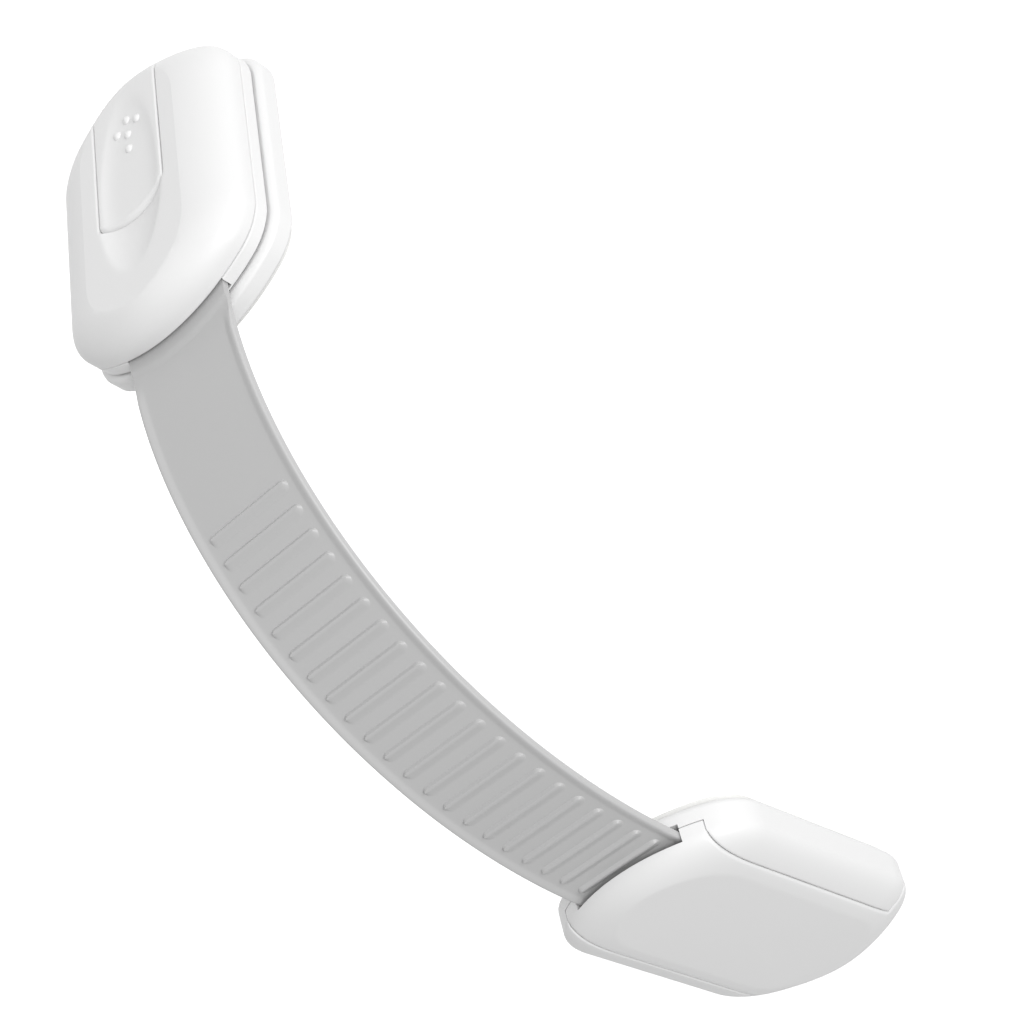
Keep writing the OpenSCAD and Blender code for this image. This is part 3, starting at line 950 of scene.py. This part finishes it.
    def cover(self) -> Solid:
        """Returns the cover, hollow below and open where the button sits."""
        edge = self.hollow_edge
        sizes = (self.width - 2 * self.wall, self.length - 2 * self.wall)
        hollow = Pad(*sizes, 0, self.hollow_top - edge, self.hollow_top, edge, edge, edge)
        hollow.end_radius -= self.wall
        hollow.corner_radius -= self.wall
        hollow.roll_steps = 2
        loops = edge_loops(self.button_half + self.gap, 1, self.edge)
        shell = self.pad().solid(self.rings).scored(0, loops + [-place for place in loops])
        shell.raised(self.cover_top - self.cover_roll, self.cover_top_at)
        shell.work(Operation.CUT, hollow.solid(), self.button_prism(self.gap))
        return shell

    def button(self) -> Solid:
        """Returns the button with its skirt and raised dots."""
        far = self.far
        loops = edge_loops(self.button_half, -1, self.edge)
        shell = self.pad().solid(self.rings).scored(0, loops + [-place for place in loops])
        shell.scored(1, [self.end_step * k - self.button_reach for k in range(self.end_loops)])
        shell.raised(self.cover_top - self.cover_roll, self.button_top)
        shell.work(Operation.KEEP, self.button_prism(0.0))
        shell.work(
            Operation.CUT,
            Solid.box((-far, -far, 0), (far, self.skirt, self.hollow_top)),
            Solid.box((-far, -far, 0), (far, far, self.cover_low + self.skirt_rise)),
        )
        # Room for the stiff spring's tip when the button is pressed
        tip_y = self.skirt - self.spring_inset
        half = self.spring_half
        ceiling = self.hollow_top + self.spring_room
        shell.work(Operation.CUT, Solid.box((-half, tip_y - self.spring_reach, 0), (half, tip_y, ceiling)))
        for x, y in self.dots:
            dot = bmesh.new()
            bmesh.ops.create_uvsphere(dot, u_segments=24, v_segments=12, radius=self.dot / 2)
            height = self.button_top(Vector((x, y, self.cover_top))) - self.dot * self.dot_sink
            bmesh.ops.translate(dot, vec=(x, y, height), verts=dot.verts)
            shell.beside(Solid(dot))
        return shell

    def bottom_plate(self) -> Solid:
        """Returns the head's bottom plate with the strap's channel and its holes."""
        far = self.far
        edge = self.bottom_edge
        rolls = (self.cover_low - edge, self.cover_low, edge, edge, edge)
        form = Pad(self.width, self.length, self.bottom_low, *rolls, self.bottom_foot)
        form.roll_steps = 3
        shell = form.solid()
        half = self.button_half + self.gap
        shell.work(
            Operation.CUT,
            Solid.box(
                (-self.channel_half, -far, self.channel_floor),
                (self.channel_half, self.root_end + self.root_room, far),
            ),
            Solid.box(
                (-self.window_half, self.window_low_y, 0),
                (self.window_half, self.keeper_y + self.window_room, far),
            ),
            Solid.box((-half, self.skirt - self.skirt_gap, 0), (half, far, far)),
        )
        sunk = self.bottom_low + self.screw_sink
        for y in (-self.screw_y, self.screw_y):
            shell.work(
                Operation.CUT,
                Solid.rod((self.screw_x, y, 0), self.screw_hole, far).mirrored(),
                Solid.rod((self.screw_x, y, 0), self.screw_head, sunk).mirrored(),
            )
        shell.work(Operation.CUT, Solid.rod((self.peg_x, self.peg_y, 0), self.peg_hole, far).mirrored())
        peg_y = self.root_end - self.strap_peg_back
        foot = (self.strap_peg_x, peg_y, self.channel_floor - self.strap_peg_sink)
        return shell.work(Operation.ADD, Solid.rod(foot, self.strap_peg, self.strap_peg_height).mirrored())

    def base_plate(self) -> Solid:
        """Returns the base plate with the keeper and the two centring pegs."""
        far = self.far
        lip = 2 * self.plate_lip
        roll = self.plate_roll
        rolls = (self.plate_top - roll, self.plate_top, roll, roll, roll)
        form = Pad(self.width + lip, self.length + lip, self.tape, *rolls, self.plate_foot)
        form.roll_steps = 8
        shell = form.solid()
        shell.work(
            Operation.CUT,
            Solid.box((-self.window_half, self.window_low_y, 0), (self.window_half, self.keeper_y, far)),
            Solid.box(
                (-self.window_half, self.window_low_y, 0),
                (self.window_half, self.keeper_y + self.keeper_shelf, self.plate_top - self.keeper),
            ),
        )
        foot = (self.peg_x, self.peg_y, self.plate_top - self.peg_sink)
        return shell.work(Operation.ADD, Solid.rod(foot, self.peg, self.peg_height).mirrored())

    def build(self) -> None:
        """Makes the pad's pieces and puts them on their bodies."""
        here = self.place()
        shells = (
            ("head_cover_shell", self.cover(), "head", "head_cover"),
            ("head_bottom_shell", self.bottom_plate(), "head", "head_bottom_plate"),
            ("release_button_shell", self.button(), "button", "release_button"),
            ("latch_plate_shell", self.base_plate(), "latch_base", "latch_base_plate"),
        )
        for name, solid, body, node in shells:
            item = solid.piece(name, here, WHITE_ABS)
            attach(item, body)
            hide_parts(node)
        inset, edge = self.tape_inset - self.plate_lip, self.tape_edge
        sizes = (self.width - 2 * inset, self.length - 2 * inset)
        form = Pad(*sizes, 0, self.tape - edge, self.tape, edge, edge, edge)
        form.end_radius -= self.tape_inset
        form.corner_radius -= self.tape_inset
        form.roll_steps = 2
        tape = form.solid().piece("latch_tape_pad", here, FOAM)
        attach(tape, "latch_base")
        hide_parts("latch_tape")


@dataclass
class Strap:
    """The flexible strap: a beaded band swept along its bends, with sawtooth ribs."""

    half: float = 9.5
    thickness: float = 1.0
    rim_foot: float = 7.9
    rim_height: float = 0.3
    rim_fade: float = 3.0
    mouth: float = 4.7
    collar: float = 2.4
    collar_height: float = 0.25
    collar_radius: float = 28.4
    start_y: float = 14.8
    top: float = 5.3
    tail: float = 29.45
    root: float = 13.2
    lengths: tuple = (12.0, 18.0, 18.0, 18.0, 18.0, 12.2, 12.2, 7.2)
    slack_radius: float = 102.2
    tight_radius: float = 52.2
    rib_pitch: float = 3.6
    rib_half: float = 7.3
    rib_width: float = 1.8
    rib_sink: float = 0.3
    rib_levels: tuple = ((0.0, 1.0, 0.0), (0.06, 0.8, 0.13), (0.45, 0.28, 0.37))
    rib_end_draw: float = 0.35
    rib_crest: float = 0.1
    ribbed_bends: int = 5
    collar_soft: float = 0.4
    band_rest: float = 1.2
    step: float = 0.45
    bodies: tuple = ("strap_tail", "strap_1", "strap_2", "strap_3", "strap_4", "strap_5", "strap_6", "head")

    def __post_init__(self) -> None:
        """Works out where each bend starts, how tight it is and which way the strap heads there."""
        total = sum(self.lengths)
        slack, tight = 1 / self.slack_radius, 1 / self.tight_radius
        self.cuts: list[tuple[float, float, Vector]] = []
        self.curves: list[float] = []
        along, heading, place = 0.0, 0.0, Vector((0, self.start_y, self.top))
        for length in self.lengths:
            curve = slack + (tight - slack) * (along + length / 2) / total
            self.cuts.append((along, heading, place.copy()))
            self.curves.append(curve)
            turn = length * curve
            place += Vector((0, math.sin(heading + turn) - math.sin(heading), 0)) / curve
            place += Vector((0, 0, math.cos(heading + turn) - math.cos(heading))) / curve
            along, heading = along + length, heading + turn
        self.cuts.append((along, heading, place.copy()))
        self.total = total

    def at(self, along: float) -> tuple[float, Vector]:
        """Finds a place on the strap's upper face.

        Args:
            along: Distance from the start of the bend, less than zero on the straight tail.

        Returns:
            The heading there in radians and the place.
        """
        if along <= 0:
            return 0.0, Vector((0, self.start_y + along, self.top))
        if along >= self.total:
            _, heading, place = self.cuts[-1]
            beyond = along - self.total
            return heading, place + beyond * Vector((0, math.cos(heading), -math.sin(heading)))
        index = max(i for i in range(len(self.lengths)) if self.cuts[i][0] <= along)
        start, heading, place = self.cuts[index]
        curve = self.curves[index]
        now = heading + (along - start) * curve
        moved = Vector((0, math.sin(now) - math.sin(heading), math.cos(now) - math.cos(heading))) / curve
        return now, place + moved

    def frame_at(self, along: float) -> Matrix:
        """Finds the strap's frame at a place: +Y on towards the latch, +Z out of the upper face.

        Args:
            along: Distance from the start of the bend.

        Returns:
            The frame.
        """
        heading, place = self.at(along)
        return Matrix.Translation(place) @ Matrix.Rotation(-heading, 4, "X")

    def section(self, mesh: BMesh) -> list[BMEdge]:
        """Draws the strap's cross-section: a flat face between two slim raised rims.

        Args:
            mesh: The bmesh, still empty.

        Returns:
            The edges of the closed section.
        """
        crest = self.half - self.rim_height
        last = mesh.verts.new((0, 0, 0))
        flat_steps, slope_steps = 12, 8
        places = [Vector((self.rim_foot * k / flat_steps, 0, 0)) for k in range(1, flat_steps + 1)]
        for k in range(1, slope_steps + 1):
            share = k / slope_steps
            rise = self.rim_height * share**2 * (3 - 2 * share)
            places.append(Vector((self.rim_foot + (crest - self.rim_foot) * share, 0, rise)))
        for place in places:
            now = mesh.verts.new(place)
            mesh.edges.new((last, now))
            last = now
        middle = (crest, 0, 0)
        arc = bmesh.ops.spin(mesh, geom=[last], cent=middle, axis=(0, 1, 0), angle=math.pi / 2, steps=5)
        last = next(item for item in arc["geom_last"] if isinstance(item, BMVert))
        round_low = self.rim_height - self.thickness
        for place in ((self.half, 0, round_low), (crest, 0, -self.thickness), (0, 0, -self.thickness)):
            now = mesh.verts.new(place)
            mesh.edges.new((last, now))
            last = now
        geometry = mesh.verts[:] + mesh.edges[:]
        bmesh.ops.mirror(mesh, geom=geometry, matrix=Matrix.Identity(4), merge_dist=WELD, axis="X")
        bmesh.ops.remove_doubles(mesh, verts=mesh.verts, dist=WELD)
        return mesh.edges[:]

    def lifted(self, x: float, along: float, z: float) -> float:
        """Fades the rims out towards the latch and raises the collar there.

        Args:
            x: Distance from the strap's middle.
            along: Distance from the start of the bend.
            z: Height in the plain section.

        Returns:
            The height at that place.
        """
        if z < -WELD:
            return z
        start = self.total - self.mouth - self.collar
        rim_share = min(1.0, max(0.0, (start - along) / self.rim_fade))
        edge = start + self.collar_radius - math.sqrt(self.collar_radius**2 - x**2)
        collar_share = min(1.0, max(0.0, (along - edge) / self.collar_soft))
        return z * rim_share + self.collar_height * collar_share

    def band(self, start: float, end: float) -> Solid:
        """Sweeps the section along the strap.

        Args:
            start: Where the band starts, from the start of the bend.
            end: Where it ends.

        Returns:
            The closed band.
        """
        mesh = bmesh.new()
        first = self.section(mesh)
        bmesh.ops.translate(mesh, vec=(0, start, 0), verts=mesh.verts)
        steps = round((end - start) / self.step)
        onward = Vector((0, (end - start) / steps, 0))
        swept = bmesh.ops.spin(
            mesh, geom=first, cent=(0, 0, 0), dvec=onward, axis=(0, 0, 1), angle=0.0, steps=steps
        )
        bmesh.ops.edgeloop_fill(mesh, edges=first)
        bmesh.ops.edgeloop_fill(mesh, edges=[item for item in swept["geom_last"] if isinstance(item, BMEdge)])
        bmesh.ops.recalc_face_normals(mesh, faces=mesh.faces)
        for vert in mesh.verts:
            x, along, z = vert.co
            vert.co = self.frame_at(along) @ Vector((x, 0, self.lifted(x, along, z)))
        return Solid(mesh)

    def rib(self, along: float) -> Solid:
        """Makes a rib: steep towards the latch, sloping down towards the adjuster.

        Args:
            along: Where its middle is, from the start of the bend.

        Returns:
            The rib, sunk a little into the strap.
        """
        mesh = bmesh.new()
        radius = self.rib_width / 2
        reach = self.rib_half - radius
        start = mesh.verts.new((reach, -radius, -self.rib_sink))
        bmesh.ops.spin(
            mesh, geom=[start], cent=(reach, 0, -self.rib_sink), axis=(0, 0, 1), angle=math.pi, steps=10
        )
        geometry = mesh.verts[:] + mesh.edges[:]
        bmesh.ops.mirror(mesh, geom=geometry, matrix=Matrix.Identity(4), merge_dist=WELD, axis="X")
        ends = [v for v in mesh.verts if len(v.link_edges) == 1]
        for side in (-1, 1):
            mesh.edges.new([v for v in ends if v.co.y * side > 0])
        bmesh.ops.edgeloop_fill(mesh, edges=mesh.edges[:])
        height = -self.rib_sink
        top = mesh.faces[:]
        for level, narrow, shift in self.rib_levels:
            raised = bmesh.ops.extrude_face_region(mesh, geom=top)["geom"]
            bmesh.ops.delete(mesh, geom=[f for f in top if level > 0], context="FACES_ONLY")
            verts = [item for item in raised if isinstance(item, BMVert)]
            top = [item for item in raised if isinstance(item, bmesh.types.BMFace)]
            shorter = 1 - self.rib_end_draw * (1 - narrow) / self.rib_half
            bmesh.ops.scale(mesh, vec=(shorter, narrow, 1), verts=verts)
            bmesh.ops.translate(mesh, vec=(0, shift, level - height), verts=verts)
            height = level
        crest = [edge for face in top for edge in face.edges]
        bmesh.ops.bevel(
            mesh,
            geom=crest,
            offset=self.rib_crest,
            offset_type="OFFSET",
            segments=2,
            profile=0.5,
            affect="EDGES",
            clamp_overlap=True,
            material=-1,
        )
        bmesh.ops.recalc_face_normals(mesh, faces=mesh.faces)
        bmesh.ops.transform(mesh, matrix=self.frame_at(along), verts=mesh.verts)
        return Solid(mesh)

    def rib_places(self) -> list[float]:
        """Returns the middle of each rib, from the tail's end to the last ribbed length."""
        last = self.cuts[self.ribbed_bends][0] - self.rib_pitch / 2
        first_possible = -self.tail + self.rib_pitch
        count = int((last - first_possible) / self.rib_pitch) + 1
        return [last - k * self.rib_pitch for k in reversed(range(count))]

    def build(self) -> None:
        """Makes one band for each joint of the strap, which meet in the middle of each length."""
        middles = [cut[0] + length / 2 for cut, length in zip(self.cuts, self.lengths)]
        starts = [-self.tail, *middles[1:-1]]
        ends = [*middles[1:-1], self.total + self.root]
        nodes = ["strap_tail", *[f"strap_length_{i}" for i in range(1, 7)], "strap_root"]
        for index, (start, end) in enumerate(zip(starts, ends)):
            band = self.band(start, end)
            for place in self.rib_places():
                if start < place <= end + WELD:
                    band.beside(self.rib(place))
            item = band.piece(f"strap_band_{index + 1}", Matrix.Identity(4), STRAP_PP)
            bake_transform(item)
            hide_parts(nodes[index])
            if index == len(starts) - 1:
                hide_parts(nodes[-1])


@dataclass
class Studio:
    """Floor, lights and camera, in millimetres and degrees."""

    floor_z: float = -230.0
    floor_size: float = 6000.0
    aim: tuple = (4.121, 33.485, -49.44)
    distance: float = 385.643
    azimuth: float = 144.828
    elevation: float = 35.847
    roll: float = 164.973
    lens: float = 95.167
    key_place: tuple = (572, 434, 351)
    key_size: float = 500.0
    key_watts: float = 4.8
    sky: float = 0.5
    floor_glow: float = 0.7

    def camera(self) -> None:
        """Puts the camera where the photograph was taken from."""
        azimuth, elevation, roll = (math.radians(a) for a in (self.azimuth, self.elevation, self.roll))
        flat = math.cos(elevation)
        forward = Vector((-math.sin(azimuth) * flat, math.cos(azimuth) * flat, -math.sin(elevation)))
        level = forward.cross(Vector((0, 0, 1))).normalized()
        right = level * math.cos(roll) + level.cross(forward) * math.sin(roll)
        turned = Matrix((right, right.cross(forward), -forward)).transposed().to_4x4()
        data = bpy.data.cameras.new("camera")
        data.lens = self.lens
        item = bpy.data.objects.new("camera", data)
        item.matrix_world = Matrix.Translation((Vector(self.aim) - forward * self.distance) * MM) @ turned
        bpy.context.scene.collection.objects.link(item)
        bpy.context.scene.camera = item

    def pale(
        self, tree: bpy.types.NodeTree, shaded: bpy.types.NodeSocket, white: bpy.types.NodeSocket
    ) -> None:
        """Shows white to the camera, to mirrors and through glass, and the shaded surface to other light.

        Args:
            tree: The node tree to finish.
            shaded: The shader that light meets.
            white: The shader that is seen.
        """
        path = add_node(tree, "ShaderNodeLightPath", {}, {})
        seen = add_node(
            tree,
            "ShaderNodeMath",
            {".operation": "MAXIMUM"},
            {0: path.outputs["Is Camera Ray"], 1: path.outputs["Is Glossy Ray"]},
        )
        either = add_node(
            tree,
            "ShaderNodeMath",
            {".operation": "MAXIMUM"},
            {0: seen.outputs[0], 1: path.outputs["Is Transmission Ray"]},
        )
        mix = add_node(tree, "ShaderNodeMixShader", {}, {0: either.outputs[0], 1: shaded, 2: white})
        output = next(node for node in tree.nodes if node.type.startswith("OUTPUT"))
        tree.links.new(mix.outputs[0], output.inputs["Surface"])

    def world(self) -> None:
        """Lights the object softly from all round, before a white background."""
        world = bpy.data.worlds.new("studio")
        bpy.context.scene.world = world
        world.use_nodes = True
        tree = world.node_tree
        soft = tree.nodes["Background"]
        soft.inputs["Color"].default_value = (1, 1, 1, 1)
        soft.inputs["Strength"].default_value = self.sky
        white = add_node(tree, "ShaderNodeBackground", {"Strength": 1.0, "Color": (1, 1, 1, 1)}, {})
        self.pale(tree, soft.outputs[0], white.outputs[0])

    def floor(self) -> None:
        """Lays a pale floor well below the part."""
        mesh = bmesh.new()
        bmesh.ops.create_grid(mesh, x_segments=1, y_segments=1, size=self.floor_size * MM / 2)
        bmesh.ops.translate(mesh, vec=(0, 0, self.floor_z * MM), verts=mesh.verts)
        data = bpy.data.meshes.new("floor")
        mesh.to_mesh(data)
        mesh.free()
        item = bpy.data.objects.new("floor", data)
        bpy.context.scene.collection.objects.link(item)
        material = bpy.data.materials.new("pale floor")
        material.use_nodes = True
        tree = material.node_tree
        shader = tree.nodes["Principled BSDF"]
        shader.inputs["Base Color"].default_value = linear("F4F4F4")
        shader.inputs["Roughness"].default_value = 0.9
        glow = {"Color": (1, 1, 1, 1), "Strength": self.floor_glow}
        white = add_node(tree, "ShaderNodeEmission", glow, {})
        both = add_node(tree, "ShaderNodeAddShader", {}, {0: shader.outputs[0], 1: white.outputs[0]})
        self.pale(tree, shader.outputs[0], both.outputs[0])
        item.data.materials.append(material)

    def lamp(self, name: str, place: tuple, size: float, watts: float) -> None:
        """Hangs a square lamp that points at the part.

        Args:
            name: The lamp's name.
            place: Where it hangs.
            size: The length of its sides.
            watts: Its power.
        """
        data = bpy.data.lights.new(name, "AREA")
        data.size = size * MM
        data.energy = watts
        item = bpy.data.objects.new(name, data)
        item.location = Vector(place) * MM
        aim = (Vector(self.aim) - Vector(place)).normalized()
        item.rotation_euler = aim.to_track_quat("-Z", "Y").to_euler()
        bpy.context.scene.collection.objects.link(item)

    def build(self) -> None:
        """Sets up the studio."""
        bpy.context.scene.view_settings.view_transform = "Standard"
        self.world()
        self.floor()
        self.lamp("key lamp", self.key_place, self.key_size, self.key_watts)
        self.camera()


def dress_small_parts() -> None:
    """Gives the CAD nodes that stay visible their real finishes."""
    finishes = {
        "lid_hinge_pin": STEEL,
        "head_screws": STEEL,
        "button_pivot_pin": STEEL,
        "button_spring": STEEL,
        "ratchet_pawl": WHITE_ABS,
        "release_hook": STRAP_PP,
    }
    for name, finish in finishes.items():
        data = frame["nodes"][name].data
        data.materials.clear()
        data.materials.append(finish.material())
        log.info("%s: %s", name, finish.name)


def main() -> None:
    """Builds the part's pieces in order, then the studio."""
    logging.basicConfig(level=logging.INFO)
    Adjuster().build()
    Strap().build()
    Latch().build()
    dress_small_parts()
    Studio().build()


if __name__ == "__main__":
    main()
